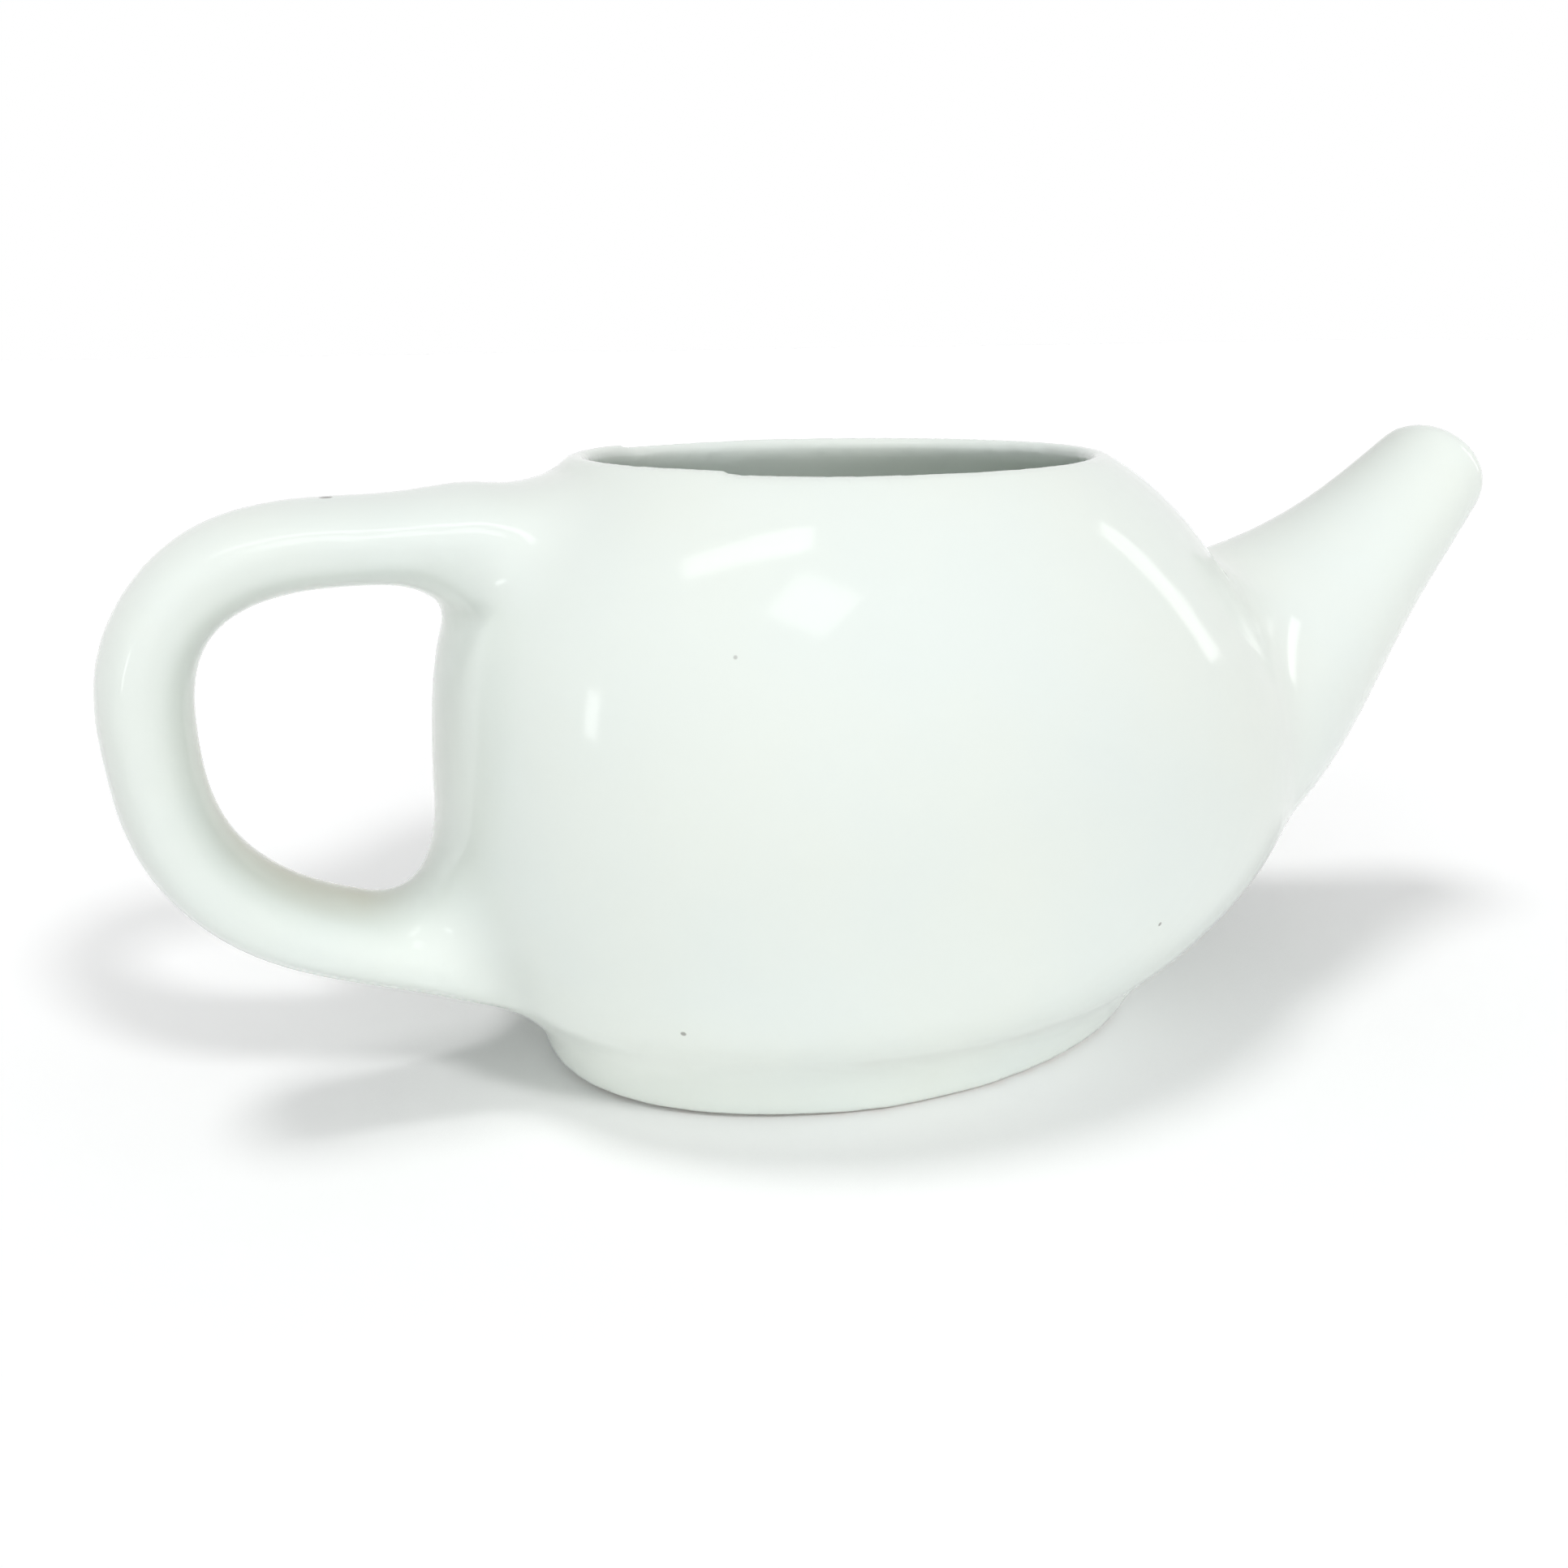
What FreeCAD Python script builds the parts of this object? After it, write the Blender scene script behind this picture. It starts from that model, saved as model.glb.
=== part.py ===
import FreeCAD, Part
import math
import os
from collections import namedtuple

# Neti pot, slip cast in one piece: oval body on a low oval foot, open rim, tapered spout and loop handle.
# Millimetres. +X runs from the handle to the spout, +Z is up, and the pot is symmetrical about the XZ plane.
# It is built with X = 0 in the middle of the rim, then moved so that X = 0 is halfway along its whole length.
# Z = 0 is the surface that the foot stands on.

# Wall and floor
BODY_WALL = 3.2
SPOUT_WALL = 3.0
FLOOR_THICKNESS = 4.0
FLOOR_ROUNDING = 4.0

# Body: level sections, each with its reach towards the handle and the spout, its half width,
# and how far its spout end is drawn out from an oval into a pear shape
Level = namedtuple("Level", "height to_handle to_spout half_width drawn_out")
FOOT = Level(0.0, 33.9, 39.0, 24.8, 0.0)
FOOT_TOP = Level(3.6, 35.3, 41.2, 26.0, 0.0)
GROOVE = Level(5.4, 35.3, 42.0, 26.9, 0.5)
LOWER = Level(10.5, 40.0, 43.5, 31.8, 5.0)
BELLY_LOW = Level(19.0, 44.6, 46.5, 36.0, 12.0)
BELLY = Level(31.0, 45.5, 47.5, 38.0, 14.0)
BELLY_HIGH = Level(43.0, 44.8, 47.0, 37.4, 9.0)
SHOULDER_LOW = Level(52.0, 42.9, 46.0, 35.0, 2.0)
SHOULDER = Level(59.5, 38.4, 41.2, 31.2, 0.0)
SHOULDER_HIGH = Level(65.0, 32.2, 34.4, 27.0, 0.0)
RIM = Level(68.0, 28.6, 29.6, 23.8, 0.0)

# Foot underside: a ring stands on the table round a shallow recess
FOOT_RING_WIDTH = 5.0
FOOT_RECESS_DEPTH = 1.6
FOOT_RECESS_SLOPE = 0.8
FOOT_EDGE_ROUNDING = 0.8

# Lip
LIP_ROUNDING = 1.4

# Spout: ellipses across its axis, from the tip back into the body
Across = namedtuple("Across", "x z lean half_height half_width")
SPOUT_TIP = Across(89.8, 64.2, 43.0, 7.6, 7.6)
SPOUT_NECK = Across(79.1, 54.3, 43.0, 8.9, 9.6)
SPOUT_MIDDLE = Across(68.4, 45.8, 41.0, 12.0, 13.6)
SPOUT_SWELL = Across(56.0, 38.0, 32.0, 16.6, 19.8)
SPOUT_ROOT = Across(41.5, 31.5, 12.0, 21.0, 24.0)
SPOUT_START = Across(20.0, 30.5, 0.0, 16.0, 20.0)
SPOUT_TIP_ROUNDING = 5.0
SPOUT_DOME_STEPS = 3
SPOUT_CREASE_ROUNDING = 4.0
SPOUT_HOLE_RADIUS = 2.2
SPOUT_HOLE_LENGTH = 5.0

# Handle: centre line in the XZ plane, from the shoulder round to the lower body
HANDLE_LINE = (
    (-27.0, 59.6),
    (-38.0, 60.9),
    (-50.0, 60.9),
    (-61.0, 60.1),
    (-69.0, 54.6),
    (-71.7, 43.0),
    (-69.8, 32.0),
    (-64.0, 24.6),
    (-53.0, 19.2),
    (-41.0, 15.8),
    (-29.0, 12.6),
)
HANDLE_THICKNESS = 8.8
HANDLE_WIDTH = 15.6

# Handle roots: the strap thickens and widens into the body over a share of its length
HANDLE_ROOT_SHARE = 0.28
HANDLE_TOP_ROOT_THICKNESS = 11.2
HANDLE_TOP_ROOT_WIDTH = 27.0
HANDLE_LOW_ROOT_THICKNESS = 14.0
HANDLE_LOW_ROOT_WIDTH = 28.0
HANDLE_TOP_ROUNDING = 4.0
HANDLE_LOW_ROUNDING = 5.0

# Making
SECTION_POINTS = 16
HANDLE_SECTIONS = 13
PEAR_POWER = 3
LARGEST_SHARE = 0.95
SAME_PLACE = 0.01
SIDEWAYS = FreeCAD.Vector(0, 1, 0)


def closed_curve(points):
    curve = Part.BSplineCurve()
    curve.interpolate(points, PeriodicFlag=True)
    return Part.Wire([curve.toShape()])


def turn_angles():
    return [2 * math.pi * index / SECTION_POINTS for index in range(SECTION_POINTS)]


def level_section(level):
    """A level section of the body: an oval, pear shaped where its spout end is drawn out."""
    middle = (level.to_spout - level.to_handle) / 2
    half_length = (level.to_spout + level.to_handle) / 2
    points = []
    for angle in turn_angles():
        towards_spout = ((1 + math.cos(angle)) / 2) ** PEAR_POWER
        x = middle + half_length * math.cos(angle) + level.drawn_out * towards_spout
        points.append(FreeCAD.Vector(x, level.half_width * math.sin(angle), level.height))
    return closed_curve(points)


def cross_section(centre, along, half_along, half_across):
    """An ellipse about centre, with one axis along a direction in the XZ plane and the other sideways."""
    points = []
    for angle in turn_angles():
        offset = along * (half_along * math.cos(angle)) + SIDEWAYS * (half_across * math.sin(angle))
        points.append(centre + offset)
    return closed_curve(points)


def loft(wires):
    return Part.makeLoft(wires, True, False)


def edges_at_height(solid, height):
    """The edges of a solid that lie level at a height."""
    found = []
    for edge in solid.Edges:
        box = edge.BoundBox
        if abs(box.ZMin - height) < SAME_PLACE and abs(box.ZMax - height) < SAME_PLACE:
            found.append(edge)
    return found


def creases(joined, first, second):
    """The edges of a joined solid that lie on the skins of both solids it was joined from."""
    found = []
    for edge in joined.Edges:
        middle = Part.Vertex(edge.valueAt((edge.FirstParameter + edge.LastParameter) / 2))
        on_first = middle.distToShape(first.Shells[0])[0] < SAME_PLACE
        on_second = middle.distToShape(second.Shells[0])[0] < SAME_PLACE
        if on_first and on_second:
            found.append(edge)
    return found


def outer_levels():
    return [
        FOOT, FOOT_TOP, GROOVE, LOWER, BELLY_LOW, BELLY,
        BELLY_HIGH, SHOULDER_LOW, SHOULDER, SHOULDER_HIGH, RIM]


def body_outside():
    body = loft([level_section(level) for level in outer_levels()])
    body = body.makeFillet(lip_radius(), edges_at_height(body, RIM.height))
    return body.makeFillet(FOOT_EDGE_ROUNDING, edges_at_height(body, FOOT.height))


def lip_radius():
    """The lip's rounding, which stays under half the wall."""
    return min(LIP_ROUNDING, LARGEST_SHARE * BODY_WALL / 2)


def shrunk(level, height, by):
    """A level section at another height, smaller all round."""
    return Level(height, level.to_handle - by, level.to_spout - by, level.half_width - by, level.drawn_out)


def mean_reach(level):
    return (level.to_handle + level.to_spout + 2 * level.half_width) / 4


def inset(level, below, above):
    """A level section moved in by the wall, square to the body's mean profile."""
    lean = math.atan2(mean_reach(below) - mean_reach(above), above.height - below.height)
    return shrunk(level, level.height - BODY_WALL * math.sin(lean), BODY_WALL * math.cos(lean))


def cavity():
    """The space inside the body, from its floor to above the rim."""
    outer = outer_levels()
    floor = shrunk(FOOT_TOP, FOOT_RECESS_DEPTH + FLOOR_THICKNESS, BODY_WALL)
    lowest = outer.index(LOWER)
    walls = [inset(outer[i], outer[i - 1], outer[i + 1]) for i in range(lowest, len(outer) - 1)]
    mouth = shrunk(RIM, RIM.height + BODY_WALL / 2, BODY_WALL)
    space = loft([level_section(level) for level in [floor] + walls + [mouth]])
    return space.makeFillet(FLOOR_ROUNDING, edges_at_height(space, floor.height))


def foot_recess():
    bottom = shrunk(FOOT, FOOT.height, FOOT_RING_WIDTH)
    top = shrunk(FOOT, FOOT_RECESS_DEPTH, FOOT_RING_WIDTH + FOOT_RECESS_SLOPE)
    return loft([level_section(bottom), level_section(top)])


def spout_sections(stations):
    wires = []
    for station in stations:
        lean = math.radians(station.lean)
        upward = FreeCAD.Vector(-math.sin(lean), 0, math.cos(lean))
        middle = FreeCAD.Vector(station.x, 0, station.z)
        wires.append(cross_section(middle, upward, station.half_height, station.half_width))
    return wires


def behind_tip(distance, half_height, half_width):
    """A section of the spout at a distance back along the axis from the end of its tip."""
    lean = math.radians(SPOUT_TIP.lean)
    x = SPOUT_TIP.x - distance * math.cos(lean)
    z = SPOUT_TIP.z - distance * math.sin(lean)
    return Across(x, z, SPOUT_TIP.lean, half_height, half_width)


def tip_rounding():
    """The dome's radius, which leaves a flat ring round the hole."""
    widest = min(SPOUT_TIP.half_height, SPOUT_TIP.half_width) - SPOUT_HOLE_RADIUS
    return min(SPOUT_TIP_ROUNDING, LARGEST_SHARE * widest)


def dome_section(turn):
    """A section of the tip's dome, from its flat end at no turn to its base at a quarter turn."""
    cut_in = tip_rounding() * (1 - math.sin(turn))
    back = tip_rounding() * (1 - math.cos(turn))
    return behind_tip(back, SPOUT_TIP.half_height - cut_in, SPOUT_TIP.half_width - cut_in)


def spout_dome():
    turns = [math.pi / 2 * step / SPOUT_DOME_STEPS for step in range(SPOUT_DOME_STEPS + 1)]
    return loft(spout_sections([dome_section(turn) for turn in turns]))


def spout_outside():
    """The spout from the base of its domed tip back into the body."""
    dome_base = dome_section(math.pi / 2)
    return loft(spout_sections([dome_base, SPOUT_NECK, SPOUT_MIDDLE, SPOUT_SWELL, SPOUT_ROOT, SPOUT_START]))


def spout_bore():
    """The passage through the spout: a round hole at the tip that widens back into the body."""
    stations = []
    for distance in (-SPOUT_HOLE_RADIUS, SPOUT_HOLE_LENGTH):
        stations.append(behind_tip(distance, SPOUT_HOLE_RADIUS, SPOUT_HOLE_RADIUS))
    for outer in (SPOUT_NECK, SPOUT_MIDDLE, SPOUT_SWELL, SPOUT_ROOT, SPOUT_START):
        half_height = outer.half_height - SPOUT_WALL
        half_width = outer.half_width - SPOUT_WALL
        stations.append(Across(outer.x, outer.z, outer.lean, half_height, half_width))
    return loft(spout_sections(stations))


def root_size(share, plain, top_root, low_root):
    """A handle size at a share of its length: plain along the loop, growing to each root."""
    top = max(0.0, 1 - share / HANDLE_ROOT_SHARE) ** 2
    low = max(0.0, 1 - (1 - share) / HANDLE_ROOT_SHARE) ** 2
    return plain + top * (top_root - plain) + low * (low_root - plain)


def handle_outside():
    """The loop handle: an oval strap along its centre line, both roots ending inside the body."""
    line = Part.BSplineCurve()
    line.interpolate([FreeCAD.Vector(x, 0, z) for x, z in HANDLE_LINE])
    sections = []
    for index in range(HANDLE_SECTIONS):
        share = index / (HANDLE_SECTIONS - 1)
        parameter = line.FirstParameter + share * (line.LastParameter - line.FirstParameter)
        outward = line.tangent(parameter)[0].cross(SIDEWAYS)
        thickness = root_size(share, HANDLE_THICKNESS, HANDLE_TOP_ROOT_THICKNESS, HANDLE_LOW_ROOT_THICKNESS)
        width = root_size(share, HANDLE_WIDTH, HANDLE_TOP_ROOT_WIDTH, HANDLE_LOW_ROOT_WIDTH)
        sections.append(cross_section(line.value(parameter), outward, thickness / 2, width / 2))
    return loft(sections)


def add_spout(body):
    spout = spout_outside()
    joined = body.fuse(spout)
    joined = joined.makeFillet(SPOUT_CREASE_ROUNDING, creases(joined, body, spout))
    return joined.fuse(spout_dome())


def add_handle(body):
    handle = handle_outside()
    joined = body.fuse(handle)
    found = creases(joined, body, handle)
    middle = (HANDLE_LINE[0][1] + HANDLE_LINE[-1][1]) / 2
    top = [edge for edge in found if edge.CenterOfMass.z > middle]
    joined = joined.makeFillet(HANDLE_TOP_ROUNDING, top)
    low = [edge for edge in creases(joined, body, handle) if edge.CenterOfMass.z < middle]
    return joined.makeFillet(HANDLE_LOW_ROUNDING, low)


def is_inside_lip(edge):
    """Whether an edge at the rim lies nearer to the mouth than to the outside of the lip."""
    point = edge.valueAt(edge.FirstParameter)
    outline = level_section(RIM)
    return Part.Vertex(point).distToShape(outline)[0] > (lip_radius() + BODY_WALL) / 2


def round_mouth(pot):
    """Round the inner edge of the lip."""
    inner = [edge for edge in edges_at_height(pot, RIM.height) if is_inside_lip(edge)]
    return pot.makeFillet(lip_radius(), inner)


def make_pot():
    outside = add_handle(add_spout(body_outside()))
    inside = cavity().fuse(spout_bore())
    pot = outside.cut(inside)
    pot = round_mouth(pot).cut(foot_recess())
    box = pot.optimalBoundingBox(False, False)
    pot.translate(FreeCAD.Vector(-(box.XMin + box.XMax) / 2, 0, 0))
    return pot


def main():
    pot = make_pot()
    os.makedirs("parts", exist_ok=True)
    pot.exportStep("parts/pot.step")


main()
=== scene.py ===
import math

import bmesh
import bpy
import numpy as np
from mathutils import Matrix, Vector, noise


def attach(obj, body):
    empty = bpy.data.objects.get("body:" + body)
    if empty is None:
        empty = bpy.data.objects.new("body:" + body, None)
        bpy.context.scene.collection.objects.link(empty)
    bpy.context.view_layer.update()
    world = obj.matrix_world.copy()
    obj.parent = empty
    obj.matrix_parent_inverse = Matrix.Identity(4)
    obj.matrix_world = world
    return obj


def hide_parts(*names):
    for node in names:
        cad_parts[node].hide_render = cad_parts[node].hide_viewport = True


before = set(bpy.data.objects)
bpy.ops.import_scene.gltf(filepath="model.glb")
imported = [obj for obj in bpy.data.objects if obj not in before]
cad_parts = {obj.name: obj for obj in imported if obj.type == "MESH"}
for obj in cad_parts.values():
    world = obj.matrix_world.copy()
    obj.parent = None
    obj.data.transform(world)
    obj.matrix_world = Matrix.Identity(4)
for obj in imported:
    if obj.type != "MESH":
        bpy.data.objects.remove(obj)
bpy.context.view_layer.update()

# Looks of the neti pot: one glazed piece that stands for the CAD node, a floor, lamps and a camera.
# Metres. +X runs from the handle to the spout, +Y away from the camera, +Z up.

MM = 0.001

# Camera, fitted to the oval rim and foot in the photograph. The image's size and the focal length are
# in the photograph's pixels, and the sensor's width in millimetres.
IMAGE_SIZE = 1932
FOCAL_PIXELS = 1700
SENSOR_WIDTH = 36.0
NEAREST_SEEN = 10 * MM
CAMERA_TARGET = Vector((-14.4, 0.0, 30.0)) * MM
CAMERA_DISTANCE = 160 * MM
CAMERA_YAW = math.radians(22)
CAMERA_ELEVATION = math.radians(18.2)
CAMERA_ROLL = math.radians(0.6)

# Net of the glazed surface
WELD_DISTANCE = 0.002 * MM
VOXEL = 0.88 * MM
SOFTENING = 0.5
SOFTENING_STEPS = 12

# The inside: a point on its floor, the height where the lip starts, and how far along the spout its
# hole starts
INSIDE_FLOOR_MIDDLE = Vector((0.0, 0.0, 5.6)) * MM
LIP_STARTS = 66.5 * MM
HOLE_STARTS = 78 * MM

# Creases that the wet clay was smoothed over. Each pair holds two places in millimetres along one axis:
# where the smoothing fades to nothing and where it is full.
FLANK_BACK_X = (22, 32)
FLANK_TIP_X = (78, 64)
FLANK_TOP_Z = (56, 47)
TOP_ROOT_HANDLE_X = (-64, -50)
TOP_ROOT_BODY_X = (-10, -20)
TOP_ROOT_SIDE_Y = (22, 14)
TOP_ROOT_UNDER_Z = (54, 60)
TOP_ROOT_LIP_Z = (66.5, 65)
LOW_ROOT_HANDLE_X = (-62, -50)
LOW_ROOT_BODY_X = (-14, -24)
LOW_ROOT_TOP_Z = (34, 28)
FOOT_BOTTOM_Z = (1.5, 4)
FOOT_TOP_Z = (14, 8)
ROOT_SHARE = 0.9
FOOT_SHARE = 0.2
FILL_STEPS = 500
FILL_PACE = 0.6
STEPS_PER_NORMAL = 50
LEAST_SHARE = 0.001

# A last light smoothing of the spout's root, with its places in the same way
SPOUT_BACK_X = (26, 36)
SPOUT_TIP_X = (72, 60)
SPOUT_UNDER_Z = (28, 36)
SPOUT_SHARE = 0.8
SMOOTH_STEPS = 16
SMOOTH_PACE = 0.5

# Slow waves in the cast surface, with a finer wave on them
WAVE_LENGTH = 22 * MM
WAVE_HEIGHT = 0.12 * MM
FINE_WAVE_RATE = 2.7
FINE_WAVE_SHARE = 0.4
FOOT_CLEAR = 1.2 * MM
WAVE_FADES_OVER = 4 * MM

# The foot's bare face: how high it reaches, and how far down a face looks to belong to it
UNGLAZED_HEIGHT = 0.4 * MM
LOOKS_DOWN = -0.7

# Glaze
GLAZE_WHITE = (0.85, 0.895, 0.835, 1)
GLAZE_COOL = (0.83, 0.885, 0.845, 1)
# Grey-green of glaze pooled in hollows, deepened as painted shade in the creases
POOLED_GLAZE_AND_SHADE = (0.56, 0.60, 0.55, 1)
GLAZE_THIN = (0.88, 0.905, 0.875, 1)
# Warm brown of a painted reflection and shade on the handle's inner side
GLAZE_WARM_SHADE = (0.66, 0.64, 0.50, 1)
SPECK_BROWN = (0.09, 0.07, 0.05, 1)
GLAZE_IOR = 1.5
GLAZE_SPECULAR = 0.35
GLAZE_ROUGHNESS = (0.05, 0.12)
BISCUIT = (0.80, 0.78, 0.72, 1)
BISCUIT_DARK = (0.68, 0.64, 0.57, 1)
BISCUIT_ROUGHNESS = (0.75, 0.95)

# The sizes of patterns, as noise cells per metre, and the range that most of a noise lies in
CLOUDS_PER_METRE = 35
SHEEN_PER_METRE = 90
WARM_SHADE_PER_METRE = 160
RIPPLES_PER_METRE = 420
GRAINS_PER_METRE = 900
SPECK_CELLS_PER_METRE = 70
MOST_NOISE = (0.3, 0.7)

# The glaze's value for hollows: half on a flat place, more in a hollow, less on an edge. Each pair holds
# the values where a tint starts and where it is full.
FLAT = 0.5
HOLLOW_GAIN = 1.2
HOLLOW_SPREAD_STEPS = 8
# Where the pooled glaze and the painted crease shade start and where they are full
POOLS_AND_SHADE_IN_HOLLOWS = (0.515, 0.63)
THIN_ON_EDGES = (0.42, 0.25)

# The hole in the handle, whose inner side gets a painted warm reflection and shade: its middle and its
# half length and height. The painted shade's reach, height and body side are shares of those halves,
# from where it fades out.
HOLE_MIDDLE = Vector((-64.8, 0.0, 40.0)) * MM
HOLE_HALF_LENGTH = 10.9 * MM
HOLE_HALF_HEIGHT = 16.5 * MM
WARM_SHADE_REACH = (1.22, 1.0)
WARM_SHADE_HEIGHT = (0.7, -0.6)
WARM_SHADE_BODY_SIDE = (1.3, 0.2)
WARM_SHADE_STRENGTH = (0.2, 0.8)
WARM_SHADE_PATCHES = (0.75, 1)
WARM_SHADE_FRONT_EDGE = -6.0 * MM

# Iron specks that the photograph shows: centre on the pot and radius in millimetres, and strength
SHOWN_SPECKS = (
    ((-30.7, -29.2, 52.7), 0.28, 0.35),
    ((-35.9, -26.5, 15.3), 0.36, 0.6),
    ((13.8, -33.9, 21.1), 0.3, 0.6),
    ((-61.5, -0.5, 65.3), 0.75, 1.0),
)
SPECK_CORE = 0.6

# Fine specks: their soft edge as a share of a pattern's cell, and how few of the cells hold one
FINE_SPECK_EDGE = (0.018, 0.009)
FINE_SPECKS_KEPT = (0.62, 0.64)

# Light, and the floor that keeps the shadow: its glow fades where less of the sky is open, a painted
# shade around the pot
WORLD_LIGHT = 0.2
BACKGROUND_WHITE = 1.0
FLOOR_REACH = 6.0
FLOOR_COLOUR = (0.95, 0.95, 0.95, 1)
FLOOR_WHITENING = 0.27
FLOOR_SHADE_REACH = 0.15
FLOOR_OPEN_SKY = (0.6, 1.0)
WINDOW_DISTANCE = 0.6


def add_object(name, data):
    """A new object in the scene."""
    piece = bpy.data.objects.new(name, data)
    bpy.context.scene.collection.objects.link(piece)
    return piece


def direction(azimuth, elevation):
    """A unit vector from the pot: azimuth 0 is in front, towards the spout is positive."""
    turn = math.radians(azimuth)
    lift = math.radians(elevation)
    level = math.cos(lift)
    return Vector((math.sin(turn) * level, -math.cos(turn) * level, math.sin(lift)))


class Nodes:
    """A small help for making node trees."""

    def __init__(self, tree):
        self.tree = tree
        tree.nodes.clear()

    def add(self, kind, **settings):
        node = self.tree.nodes.new(kind)
        for name, value in settings.items():
            setattr(node, name, value)
        return node

    def link(self, output, socket):
        self.tree.links.new(output, socket)

    def noise(self, vector, scale, detail=2.0, roughness=0.5):
        """A cloudy value from 0 to 1."""
        node = self.add("ShaderNodeTexNoise")
        node.inputs["Scale"].default_value = scale
        node.inputs["Detail"].default_value = detail
        node.inputs["Roughness"].default_value = roughness
        self.link(vector, node.inputs["Vector"])
        return node.outputs["Fac"]

    def ramp(self, value, low, high, to_low=0.0, to_high=1.0):
        """A value stretched from one range to another, and kept inside the second."""
        node = self.add("ShaderNodeMapRange")
        node.inputs["From Min"].default_value = low
        node.inputs["From Max"].default_value = high
        node.inputs["To Min"].default_value = to_low
        node.inputs["To Max"].default_value = to_high
        self.link(value, node.inputs["Value"])
        return node.outputs["Result"]

    def math(self, operation, first, second):
        node = self.add("ShaderNodeMath", operation=operation)
        self.link(first, node.inputs[0])
        self.link(second, node.inputs[1])
        return node.outputs[0]

    def product(self, *factors):
        """The factors multiplied, two at a time."""
        result = factors[0]
        for factor in factors[1:]:
            result = self.math("MULTIPLY", result, factor)
        return result

    def mix(self, factor, first, second):
        """A colour mix. Each colour is a value or another node's output."""
        node = self.add("ShaderNodeMix", data_type="RGBA")
        self.link(factor, node.inputs["Factor"])
        for socket, value in ((node.inputs[6], first), (node.inputs[7], second)):
            if isinstance(value, tuple):
                socket.default_value = value
            else:
                self.link(value, socket)
        return node.outputs[2]

    def bump(self, height, strength, distance, shader):
        """Fine relief on a shader."""
        node = self.add("ShaderNodeBump")
        node.inputs["Strength"].default_value = strength
        node.inputs["Distance"].default_value = distance
        self.link(height, node.inputs["Height"])
        self.link(node.outputs["Normal"], shader.inputs["Normal"])

    def surface(self, shader_output):
        """The tree's end."""
        output = self.add("ShaderNodeOutputMaterial")
        self.link(shader_output, output.inputs["Surface"])


def new_material(name):
    """A material with an empty node tree."""
    material = bpy.data.materials.new(name)
    material.use_nodes = True
    return material, Nodes(material.node_tree)


def shown_speck_mask(nodes, place):
    """One where a speck that the photograph shows lies, with a soft edge."""
    mask = None
    for centre, radius, strength in SHOWN_SPECKS:
        gap = nodes.add("ShaderNodeVectorMath", operation="DISTANCE")
        nodes.link(place, gap.inputs[0])
        gap.inputs[1].default_value = Vector(centre) * MM
        core = SPECK_CORE * radius
        spot = nodes.ramp(gap.outputs["Value"], radius * MM, core * MM, 0, strength)
        mask = spot if mask is None else nodes.math("MAXIMUM", mask, spot)
    return mask


def fine_speck_mask(nodes, place):
    """Sparse tiny iron specks all over the glaze."""
    cells = nodes.add("ShaderNodeTexVoronoi", feature="F1")
    cells.inputs["Scale"].default_value = SPECK_CELLS_PER_METRE
    nodes.link(place, cells.inputs["Vector"])
    spot = nodes.ramp(cells.outputs["Distance"], *FINE_SPECK_EDGE)
    kept = nodes.ramp(cells.outputs["Color"], *FINE_SPECKS_KEPT)
    return nodes.product(spot, kept)


def warm_shade_mask(nodes, place):
    """A painted warm reflection and shade on the side of the handle that faces its hole, stronger low
    down.
    """
    from_middle = nodes.add("ShaderNodeVectorMath", operation="SUBTRACT")
    nodes.link(place, from_middle.inputs[0])
    from_middle.inputs[1].default_value = HOLE_MIDDLE
    share = nodes.add("ShaderNodeVectorMath", operation="MULTIPLY")
    nodes.link(from_middle.outputs["Vector"], share.inputs[0])
    share.inputs[1].default_value = (1 / HOLE_HALF_LENGTH, 0, 1 / HOLE_HALF_HEIGHT)
    reach = nodes.add("ShaderNodeVectorMath", operation="LENGTH")
    nodes.link(share.outputs["Vector"], reach.inputs[0])
    parts = nodes.add("ShaderNodeSeparateXYZ")
    nodes.link(share.outputs["Vector"], parts.inputs[0])
    near_hole = nodes.ramp(reach.outputs["Value"], *WARM_SHADE_REACH)
    low = nodes.ramp(parts.outputs["Z"], *WARM_SHADE_HEIGHT, *WARM_SHADE_STRENGTH)
    off_body = nodes.ramp(parts.outputs["X"], *WARM_SHADE_BODY_SIDE)
    whole = nodes.add("ShaderNodeSeparateXYZ")
    nodes.link(place, whole.inputs[0])
    off_front = nodes.ramp(whole.outputs["Y"], WARM_SHADE_FRONT_EDGE, 0)
    patchy = nodes.ramp(nodes.noise(place, WARM_SHADE_PER_METRE, 3), *MOST_NOISE, *WARM_SHADE_PATCHES)
    return nodes.product(near_hole, low, off_body, off_front, patchy)


def glaze_colour(nodes, place):
    """Cloudy white, grey where the glaze pools in hollows and darker there as painted shade in the
    creases, paler where it is thin, with a painted warm reflection and shade inside the handle, and iron
    specks.
    """
    hollow = nodes.add("ShaderNodeAttribute", attribute_name="hollow").outputs["Fac"]
    clouds = nodes.ramp(nodes.noise(place, CLOUDS_PER_METRE, 3), 0.35, 0.65)
    colour = nodes.mix(clouds, GLAZE_WHITE, GLAZE_COOL)
    # Pooled glaze and painted shade darken the hollows
    pooled_and_shaded = nodes.product(nodes.ramp(hollow, *POOLS_AND_SHADE_IN_HOLLOWS), nodes.ramp(clouds, 0, 1, 0.6, 1.0))
    colour = nodes.mix(pooled_and_shaded, colour, POOLED_GLAZE_AND_SHADE)
    colour = nodes.mix(nodes.ramp(hollow, *THIN_ON_EDGES), colour, GLAZE_THIN)
    # Painted warm reflection and shade inside the handle's hole
    colour = nodes.mix(warm_shade_mask(nodes, place), colour, GLAZE_WARM_SHADE)
    specks = nodes.math("MAXIMUM", shown_speck_mask(nodes, place), fine_speck_mask(nodes, place))
    return nodes.mix(specks, colour, SPECK_BROWN)


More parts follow.
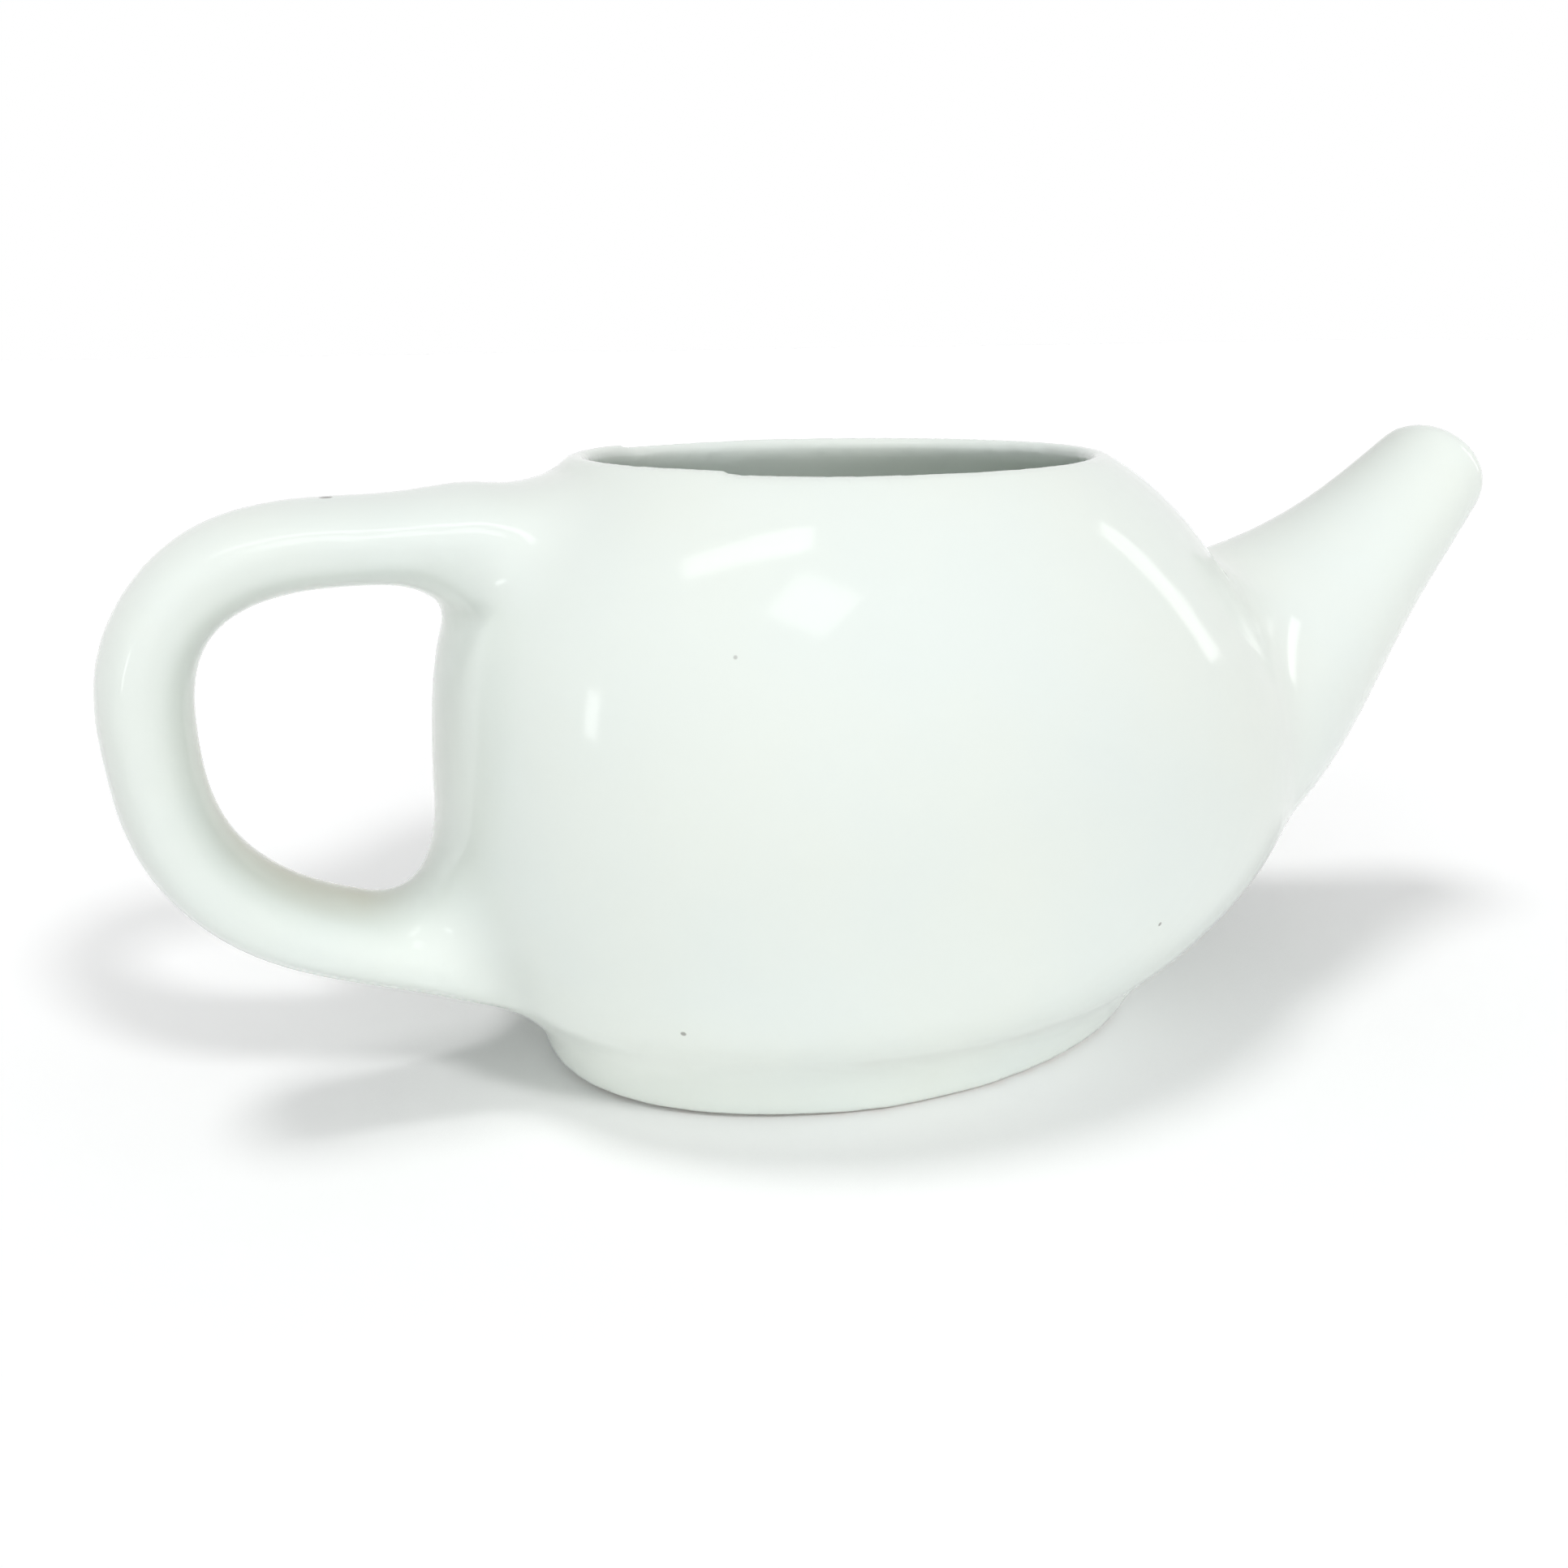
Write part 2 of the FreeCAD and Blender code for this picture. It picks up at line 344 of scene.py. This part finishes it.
def glaze_material():
    """Glossy glaze with patches of less sheen and a faint ripple."""
    material, nodes = new_material("glaze")
    place = nodes.add("ShaderNodeTexCoord").outputs["Object"]
    shader = nodes.add("ShaderNodeBsdfPrincipled")
    shader.inputs["IOR"].default_value = GLAZE_IOR
    shader.inputs["Specular IOR Level"].default_value = GLAZE_SPECULAR
    nodes.link(glaze_colour(nodes, place), shader.inputs["Base Color"])
    sheen_patches = nodes.noise(place, SHEEN_PER_METRE, 4)
    nodes.link(nodes.ramp(sheen_patches, *MOST_NOISE, *GLAZE_ROUGHNESS), shader.inputs["Roughness"])
    nodes.bump(nodes.noise(place, RIPPLES_PER_METRE), 0.25, 0.02 * MM, shader)
    nodes.surface(shader.outputs["BSDF"])
    return material


def biscuit_material():
    """Bare fired clay, where the foot ring is wiped clean of glaze."""
    material, nodes = new_material("biscuit")
    place = nodes.add("ShaderNodeTexCoord").outputs["Object"]
    grain = nodes.noise(place, GRAINS_PER_METRE, 4, 0.7)
    shader = nodes.add("ShaderNodeBsdfPrincipled")
    colour = nodes.mix(nodes.ramp(grain, *MOST_NOISE), BISCUIT, BISCUIT_DARK)
    nodes.link(colour, shader.inputs["Base Color"])
    nodes.link(nodes.ramp(grain, *MOST_NOISE, *BISCUIT_ROUGHNESS), shader.inputs["Roughness"])
    nodes.bump(grain, 0.5, 0.05 * MM, shader)
    nodes.surface(shader.outputs["BSDF"])
    return material


def even_mesh(node):
    """The CAD node's surface as an even net of small quads, fitted back onto it and softened."""
    welded = node.data.copy()
    net = bmesh.new()
    net.from_mesh(welded)
    bmesh.ops.remove_doubles(net, verts=net.verts, dist=WELD_DISTANCE)
    net.to_mesh(welded)
    net.free()
    source = add_object("surface_to_fit", welded)
    draft = add_object("draft", welded.copy())
    remesh = draft.modifiers.new("remesh", "REMESH")
    remesh.mode = "VOXEL"
    remesh.voxel_size = VOXEL
    fit = draft.modifiers.new("fit", "SHRINKWRAP")
    fit.target = source
    fit.wrap_method = "NEAREST_SURFACEPOINT"
    soften = draft.modifiers.new("soften", "SMOOTH")
    soften.factor = SOFTENING
    soften.iterations = SOFTENING_STEPS
    graph = bpy.context.evaluated_depsgraph_get()
    mesh = bpy.data.meshes.new_from_object(draft.evaluated_get(graph))
    bpy.data.objects.remove(draft)
    bpy.data.objects.remove(source)
    return mesh


def neighbours(mesh):
    """For each point, its neighbours along edges, in a table filled up with the point itself."""
    near = [[] for _ in mesh.vertices]
    for edge in mesh.edges:
        first, second = edge.vertices
        near[first].append(second)
        near[second].append(first)
    most = max(len(row) for row in near)
    return np.array([row + [index] * (most - len(row)) for index, row in enumerate(near)])


def inside_points(places, near):
    """The points of the cavity and bore: what a spread from the inside's floor reaches below the lip."""
    start = int(np.argmin(np.linalg.norm(places - np.array(INSIDE_FLOOR_MIDDLE), axis=1)))
    open_to_spread = (places[:, 2] < LIP_STARTS) & (places[:, 0] < HOLE_STARTS)
    reached = np.zeros(len(places), bool)
    edge_of_spread = np.array([start])
    while len(edge_of_spread):
        reached[edge_of_spread] = True
        ahead = np.unique(near[edge_of_spread])
        edge_of_spread = ahead[open_to_spread[ahead] & ~reached[ahead]]
    return reached


def between(values, limits):
    """A smooth share from 0 at the first limit to 1 at the second."""
    none, full = limits
    share = np.clip((values - none) / (full - none), 0.0, 1.0)
    return share * share * (3 - 2 * share)


def flow_shares(places):
    """How freely the clay was smoothed over, by place: spout flanks, handle roots and above the foot."""
    x, y, z = (places / MM).T
    flank = between(x, FLANK_BACK_X) * between(z, FLANK_TOP_Z) * between(x, FLANK_TIP_X)
    top_root = between(x, TOP_ROOT_HANDLE_X) * between(x, TOP_ROOT_BODY_X) * between(z, TOP_ROOT_UNDER_Z)
    top_root = top_root * between(z, TOP_ROOT_LIP_Z) * between(np.abs(y), TOP_ROOT_SIDE_Y)
    low_root = between(x, LOW_ROOT_HANDLE_X) * between(x, LOW_ROOT_BODY_X) * between(z, LOW_ROOT_TOP_Z)
    above_foot = between(z, FOOT_BOTTOM_Z) * between(z, FOOT_TOP_Z)
    roots = ROOT_SHARE * np.maximum(top_root, low_root)
    return np.maximum(np.maximum(flank, roots), FOOT_SHARE * above_foot)


def soft_shares(places):
    """How far a last light smoothing reaches: the whole root of the spout."""
    x, _, z = (places / MM).T
    return SPOUT_SHARE * between(x, SPOUT_BACK_X) * between(x, SPOUT_TIP_X) * between(z, SPOUT_UNDER_Z)


def towards_neighbours(places, near, moved):
    """The way from each moved point to the middle of its neighbours."""
    return places[near[moved]].mean(axis=1) - places[moved]


def fill_creases(mesh):
    """Fill the creases where spout and handle leave the body, as a wet sponge does, and wear no edge."""
    places = np.array([vert.co for vert in mesh.vertices])
    near = neighbours(mesh)
    outside = ~inside_points(places, near)
    share = flow_shares(places) * outside
    moved = np.flatnonzero(share > LEAST_SHARE)
    pace = share[moved][:, None]
    for step in range(FILL_STEPS):
        if step % STEPS_PER_NORMAL == 0:
            set_places(mesh, places)
            normals = np.array([vert.normal for vert in mesh.vertices])[moved]
        pull = towards_neighbours(places, near, moved)
        outward = (pull * normals).sum(axis=1) > 0
        places[moved] += FILL_PACE * pace * pull * outward[:, None]
    share = np.maximum(share, soft_shares(places) * outside)
    moved = np.flatnonzero(share > LEAST_SHARE)
    pace = share[moved][:, None]
    for _ in range(SMOOTH_STEPS):
        places[moved] += SMOOTH_PACE * pace * towards_neighbours(places, near, moved)
    set_places(mesh, places)


def set_places(mesh, places):
    """Move the mesh's points to new places."""
    mesh.vertices.foreach_set("co", places.ravel())
    mesh.update()


def store_hollows(mesh):
    """Store how hollow the surface is at each point, spread a little, for the glaze."""
    net = bmesh.new()
    net.from_mesh(mesh)
    net.verts.ensure_lookup_table()
    around = [[edge.other_vert(vert).index for edge in vert.link_edges] for vert in net.verts]
    bend = []
    for vert, near in zip(net.verts, around):
        middle = sum((net.verts[i].co for i in near), Vector()) / max(1, len(near))
        bend.append((middle - vert.co).dot(vert.normal) / (VOXEL * VOXEL) * MM)
    net.free()
    for _ in range(HOLLOW_SPREAD_STEPS):
        sums = [bend[index] + sum(bend[i] for i in near) for index, near in enumerate(around)]
        bend = [total / (1 + len(near)) for total, near in zip(sums, around)]
    attribute = mesh.attributes.new("hollow", "FLOAT", "POINT")
    values = [min(1.0, max(0.0, FLAT + HOLLOW_GAIN * value)) for value in bend]
    attribute.data.foreach_set("value", values)


def ripple_surface(mesh):
    """Slow uneven waves in the cast surface, which leave the foot flat."""
    normals = [vert.normal.copy() for vert in mesh.vertices]
    for vert, normal in zip(mesh.vertices, normals):
        place = vert.co / WAVE_LENGTH
        wave = noise.noise(place) + FINE_WAVE_SHARE * noise.noise(place * FINE_WAVE_RATE)
        free = min(1.0, max(0.0, (vert.co.z - FOOT_CLEAR) / WAVE_FADES_OVER))
        vert.co -= normal * (0.5 + 0.5 * wave) * WAVE_HEIGHT * free


def make_pot():
    """The glazed piece that stands for the CAD node."""
    mesh = even_mesh(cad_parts["pot"])
    mesh.name = "glazed_pot"
    fill_creases(mesh)
    store_hollows(mesh)
    ripple_surface(mesh)
    mesh.materials.clear()
    mesh.materials.append(glaze_material())
    mesh.materials.append(biscuit_material())
    for face in mesh.polygons:
        face.use_smooth = True
        on_foot = face.center.z < UNGLAZED_HEIGHT and face.normal.z < LOOKS_DOWN
        face.material_index = 1 if on_foot else 0
    pot = add_object("glazed_pot", mesh)
    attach(pot, "root")
    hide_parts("pot")


def make_floor():
    """A white floor that keeps the pot's shadow."""
    mesh = bpy.data.meshes.new("floor")
    far = FLOOR_REACH
    corners = [(-far, -far, 0), (far, -far, 0), (far, far, 0), (-far, far, 0)]
    mesh.from_pydata(corners, [], [(0, 1, 2, 3)])
    mesh.materials.append(floor_material())
    floor = add_object("floor", mesh)


def floor_material():
    """White paper with a glow that fades near the pot, as a painted shade around it."""
    material, nodes = new_material("floor")
    paper = nodes.add("ShaderNodeBsdfDiffuse")
    paper.inputs["Color"].default_value = FLOOR_COLOUR
    open_sky = nodes.add("ShaderNodeAmbientOcclusion", samples=4)
    open_sky.inputs["Distance"].default_value = FLOOR_SHADE_REACH
    # The glow dims where the pot hides the sky: painted shade on the floor
    glow = nodes.ramp(open_sky.outputs["AO"], *FLOOR_OPEN_SKY, 0, FLOOR_WHITENING)
    white = nodes.add("ShaderNodeEmission")
    nodes.link(nodes.product(glow, seen_directly(nodes)), white.inputs["Strength"])
    both = nodes.add("ShaderNodeAddShader")
    nodes.link(paper.outputs["BSDF"], both.inputs[0])
    nodes.link(white.outputs["Emission"], both.inputs[1])
    nodes.surface(both.outputs["Shader"])
    return material


def seen_directly(nodes):
    """One for the rays that show a background: from the camera, in a reflection or through glass."""
    path = nodes.add("ShaderNodeLightPath")
    seen = nodes.math("MAXIMUM", path.outputs["Is Camera Ray"], path.outputs["Is Glossy Ray"])
    return nodes.math("MAXIMUM", seen, path.outputs["Is Transmission Ray"])


def make_world():
    """A dim sky that looks white where it is seen."""
    world = bpy.data.worlds.new("studio")
    world.use_nodes = True
    bpy.context.scene.world = world
    nodes = Nodes(world.node_tree)
    background = nodes.add("ShaderNodeBackground")
    background.inputs["Color"].default_value = (1, 1, 1, 1)
    strength = nodes.ramp(seen_directly(nodes), 0, 1, WORLD_LIGHT, BACKGROUND_WHITE)
    nodes.link(strength, background.inputs["Strength"])
    output = nodes.add("ShaderNodeOutputWorld")
    nodes.link(background.outputs["Background"], output.inputs["Surface"])


def add_sun(name, towards, strength, spread, colour=(1, 1, 1)):
    """Parallel light from a direction, with soft shadows and no disc in the glaze."""
    lamp = bpy.data.lights.new(name, "SUN")
    lamp.energy = strength
    lamp.angle = math.radians(spread)
    lamp.color = colour
    sun = add_object(name, lamp)
    sun.rotation_mode = "QUATERNION"
    sun.rotation_quaternion = towards.to_track_quat("Z", "Y")
    sun.visible_glossy = False


def add_window(name, aimed_at, towards, across, width, height, radiance):
    """A flat lamp that shows only in the glaze, as a window, with its width along a direction."""
    lamp = bpy.data.lights.new(name, "AREA")
    lamp.shape = "RECTANGLE"
    lamp.size = width
    lamp.size_y = height
    lamp.energy = radiance * math.pi * width * height
    window = add_object(name, lamp)
    window.visible_camera = False
    window.visible_diffuse = False
    back = towards.normalized()
    side = (across - back * across.dot(back)).normalized()
    turn = Matrix((side, back.cross(side), back)).transposed().to_4x4()
    window.matrix_world = Matrix.Translation(aimed_at * MM + back * WINDOW_DISTANCE) @ turn


def make_lights():
    """Four soft lamps light the pot and floor, and small windows show in the glaze."""
    add_sun("key", Vector((15, -52, 48)), 1.05, 9)
    add_sun("top", Vector((-14, 0, 67)), 0.95, 16)
    add_sun("left", direction(-42, 18), 0.55, 60, (0.94, 0.98, 1))
    add_sun("front", direction(-15, 5), 0.75, 50, (0.97, 0.99, 1))
    shoulder = Vector((-26, -26, 60))
    add_window("skylight", shoulder, direction(-44, 66), Vector((0.46, -0.18, 0.08)), 0.30, 0.10, 3.0)
    add_window("window", shoulder, direction(-12, 46), Vector((0.28, -0.26, -0.2)), 0.17, 0.16, 2.4)
    side = Vector((-40, -24, 40))
    add_window("left_strip", side, direction(-74, 8), Vector((0, 1, 0)), 0.05, 0.14, 4.0)
    flank = Vector((30, -24, 50))
    add_window("right_strip", flank, direction(90, 20), Vector((0, 1, 0)), 0.07, 0.30, 1.9)


def make_camera():
    """The photograph's camera."""
    back = Vector((
        -math.sin(CAMERA_YAW) * math.cos(CAMERA_ELEVATION),
        -math.cos(CAMERA_YAW) * math.cos(CAMERA_ELEVATION),
        math.sin(CAMERA_ELEVATION)))
    right = (-back).cross(Vector((0, 0, 1))).normalized()
    up = right.cross(-back)
    rolled_right = math.cos(CAMERA_ROLL) * right - math.sin(CAMERA_ROLL) * up
    rolled_up = math.sin(CAMERA_ROLL) * right + math.cos(CAMERA_ROLL) * up
    lens = bpy.data.cameras.new("camera")
    lens.sensor_width = SENSOR_WIDTH
    lens.lens = SENSOR_WIDTH * FOCAL_PIXELS / IMAGE_SIZE
    lens.clip_start = NEAREST_SEEN
    camera = add_object("camera", lens)
    turn = Matrix((rolled_right, rolled_up, back)).transposed().to_4x4()
    camera.matrix_world = Matrix.Translation(CAMERA_TARGET + back * CAMERA_DISTANCE) @ turn
    bpy.context.scene.camera = camera


bpy.context.scene.view_settings.view_transform = "Standard"
make_camera()
make_world()
make_lights()
make_floor()
make_pot()
